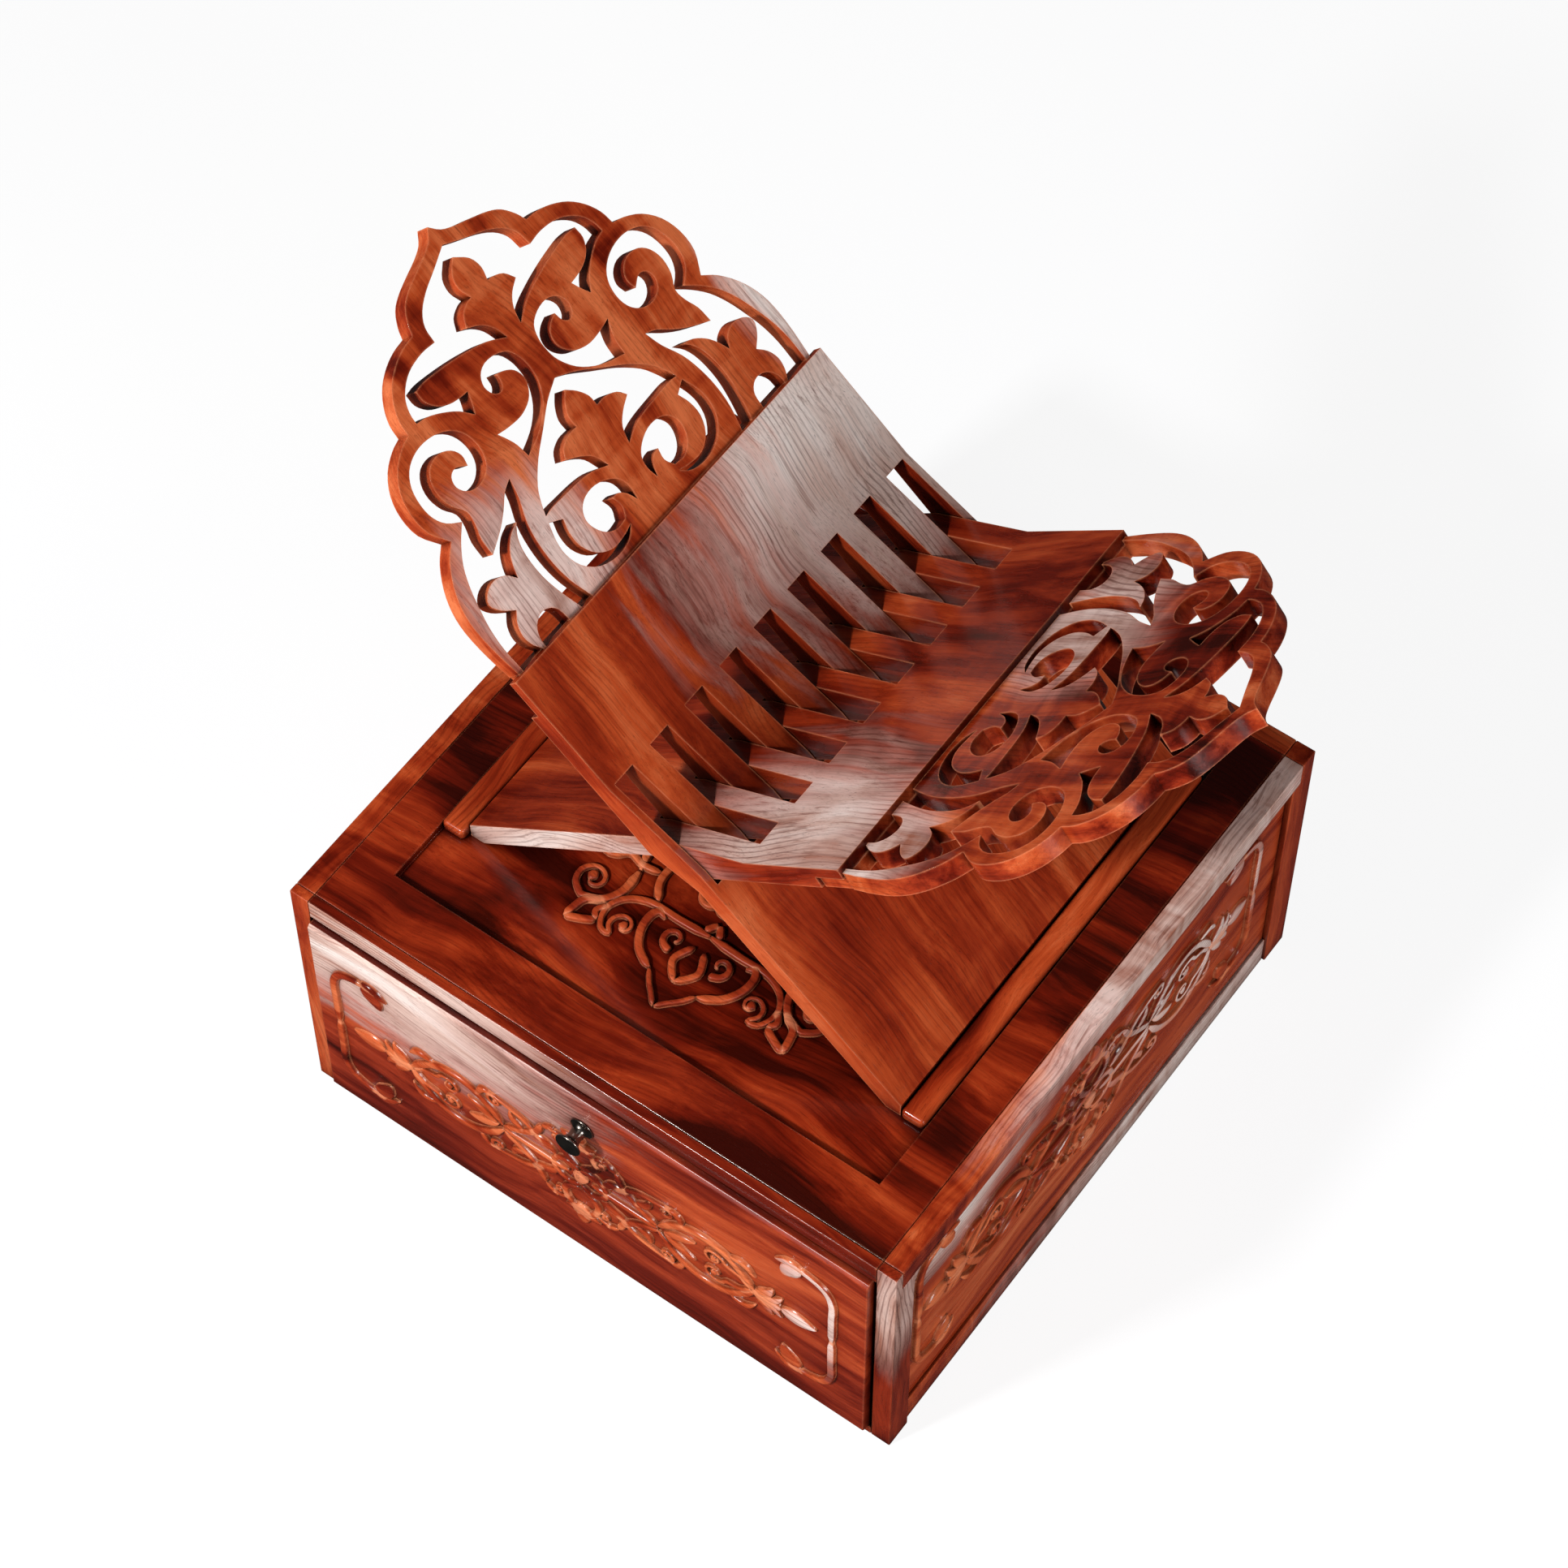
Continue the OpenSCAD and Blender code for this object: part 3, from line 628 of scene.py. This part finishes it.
def medallion():
    """The carved medallion in the recess, the same towards the front and the back."""
    r = Relief((0, 0, RECESS_Z), (1, 0, 0), (0, 1, 0), 2.2, 1.25)
    r.copies = [(sx, sy) for sx in (1, -1) for sy in (1, -1)]
    # Arch from the middle that runs into the small scroll
    r.scroll([(0, 71), (16, 71.8), (30, 71.8), (39.5, 75.5), (44.5, 82), (44.8, 89), (41.5, 94.5)],
             (34, 88.5), 7.2, 65, -1.0, 3.6)
    # Volute beside the tip and the teardrop between the pair
    r.ribbon([(10.5, 86.8)] + volute((12.2, 80.6), 6.0, 95, -0.95), 3.2, "tail")
    r.ribbon([(2.6, 79), (6.6, 88), (4.6, 93), (0, 98)], 2.8)
    # Outer band down to the shoulder, and the two sides of the tip
    r.ribbon([(21.5, 75), (25.5, 73.5), (27.5, 77.5), (26.8, 85), (22.5, 92.5), (16, 97),
              (12.5, 98.5)], 3.2)
    r.ribbon([(12.5, 98.5), (8.5, 104), (4.5, 108), (0.4, 112.5)], 2.0)
    # Leaf at the corner
    r.ribbon([(48, 83), (55, 87), (57, 93), (57.8, 99)], 3.0)
    r.ribbon([(45.5, 93), (51, 96), (57.8, 99)], 3.0)
    r.ribbon([(45, 84), (48, 89), (45.5, 93)], 2.6)
    # Large volute
    r.ribbon([(44.5, 62), (44.4, 74), (49, 82.5), (57, 86)] + volute((58.5, 76.5), 9.0, 80, -1.15), 3.8,
             "tail")
    r.bud((60, 75.5), 2.4)
    # Upper stems, arcs and the hidden middle
    r.ribbon([(33.5, 44), (34.5, 60), (29, 70)], 3.2)
    r.ribbon([(64, 63), (58, 61), (53, 57), (45, 58.8), (36, 57.5)], 3.0)
    r.ribbon([(4, 70), (1.5, 66), (0, 64.5)], 3.0)
    r.scroll([(0, 60), (5, 58)], (12, 53), 7.0, 150, -1.1, 3.0)
    r.ribbon([(33.5, 44), (30, 30), (18, 17), (0, 10)], 3.2)
    r.ribbon([(44.5, 62), (50, 46), (62, 30), (66, 12), (66, 0)], 3.4)
    r.scroll([(50, 46), (44, 34)], (50, 22), 9.0, 120, 1.2, 3.2)
    r.palmette((0, 12), 90, 26)
    r.palmette((14, 0), 0, 30)
    r.copies = [(1, 1)]
    r.bud((0, 0), 6.5)
    return r.build("medallion", top_carving_wood, "chest")


drawer_relief()
side_relief(1)
side_relief(-1)
medallion()


# ---- Knob ----

def turned(name, profile, origin, material, body, slot, replaced, steps=56):
    """A piece turned about the -Y direction from (radius, reach) points in millimetres."""
    mesh = bmesh.new()
    rows = []
    for radius, reach in spline(profile, 0.35):
        row = []
        for k in range(steps):
            angle = 2 * math.pi * k / steps
            row.append(mesh.verts.new(Vector(origin) + MM * Vector(
                (radius * math.cos(angle), -reach, radius * math.sin(angle)))))
        rows.append(row)
    for a, b in zip(rows, rows[1:]):
        for k in range(steps):
            mesh.faces.new((a[k], b[k], b[(k + 1) % steps], a[(k + 1) % steps]))
    mesh.faces.new(rows[0])
    mesh.faces.new(rows[-1])
    bmesh.ops.recalc_face_normals(mesh, faces=mesh.faces)
    data = bpy.data.meshes.new(name)
    mesh.to_mesh(data)
    mesh.free()
    data.polygons.foreach_set("use_smooth", [True] * len(data.polygons))
    piece = bpy.data.objects.new(name, data)
    bpy.context.scene.collection.objects.link(piece)
    piece.data.materials.append(material)
    normals = piece.modifiers.new("normals", "WEIGHTED_NORMAL")
    normals.keep_sharp = False
    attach(piece, body)
    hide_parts(replaced)
    return piece


KNOB_SEAT = ((KNOB_LOW.x + KNOB_HIGH.x) / 2, KNOB_HIGH.y, (KNOB_LOW.z + KNOB_HIGH.z) / 2)
KNOB_PROFILE = [(5.6, 0.0), (6.0, 0.35), (5.9, 0.9), (4.8, 1.5), (3.7, 2.8), (3.3, 4.8), (3.4, 6.4),
                (4.2, 8.2), (5.6, 9.3), (6.3, 9.7), (6.5, 10.1), (6.4, 10.55), (6.0, 10.9), (5.2, 11.0),
                (3.0, 11.0), (0.4, 11.0)]
turned("turned_knob", KNOB_PROFILE, KNOB_SEAT, knob_metal, "drawer", "dark_metal", "knob")


# ---- Floor, light and camera ----

def floor():
    """A plain pale floor that glows a little, so that it stays near white."""
    bpy.ops.mesh.primitive_plane_add(size=30, location=(0, 0, 0))
    plane = bpy.context.object
    plane.name = "floor"
    plane.visible_glossy = False
    s = Shader("pale_floor")
    place = s.add("TexCoord")["Object"]
    cloud = s.add("TexNoise", {"Vector": place, "Scale": 2.0, "Detail": 2.0})["Fac"]
    colour = s.ramp(cloud, [(0.3, (0.11, 0.11, 0.12)), (0.7, (0.13, 0.13, 0.13))])
    plane.data.materials.append(s.surface({
        "Base Color": colour, "Roughness": 0.9, "Emission Color": (1.0, 1.0, 1.0, 1.0),
        "Emission Strength": 0.89,
    }))


OBJECT_MIDDLE = Vector((0, 0, 0.18))


def softbox(name, direction, distance, size, power):
    """A rectangular light in that direction from the middle of the object, and facing it."""
    lamp = bpy.data.lights.new(name, "AREA")
    lamp.shape = "RECTANGLE"
    lamp.size, lamp.size_y = size
    lamp.energy = power
    holder = bpy.data.objects.new(name, lamp)
    bpy.context.scene.collection.objects.link(holder)
    way = Vector(direction).normalized()
    holder.location = OBJECT_MIDDLE + distance * way
    holder.rotation_euler = way.to_track_quat("Z", "Y").to_euler()
    holder.visible_camera = False
    return holder


def studio():
    """Pale surroundings for the eye, dim ones for reflections, and soft boxes for the gloss."""
    world = bpy.data.worlds.new("studio")
    bpy.context.scene.world = world
    world.use_nodes = True
    tree = world.node_tree
    back = tree.nodes["Background"]
    path = tree.nodes.new("ShaderNodeLightPath")
    mix = tree.nodes.new("ShaderNodeMix")
    mix.data_type = "RGBA"
    mix.inputs[6].default_value = (0.030, 0.029, 0.028, 1)
    mix.inputs[7].default_value = (0.94, 0.94, 0.94, 1)
    tree.links.new(path.outputs["Is Camera Ray"], mix.inputs[0])
    tree.links.new(mix.outputs[2], back.inputs["Color"])
    softbox("key", (-0.35, -1.0, 0.80), 1.9, (0.22, 0.18), 40)
    softbox("right", (1.0, -0.35, 0.50), 1.9, (0.5, 0.4), 16)
    softbox("above", (0.3, -0.3, 1.6), 2.2, (1.2, 1.2), 3)


def camera():
    lens = bpy.data.cameras.new("camera")
    lens.sensor_width = 36
    lens.lens = 105.06
    holder = bpy.data.objects.new("camera", lens)
    bpy.context.scene.collection.objects.link(holder)
    holder.location = (0.6128, -0.8644, 1.8451)
    holder.rotation_euler = (math.radians(32.61), 0, math.radians(35.89))
    bpy.context.scene.camera = holder


floor()
studio()
camera()
bpy.context.scene.view_settings.view_transform = "Standard"
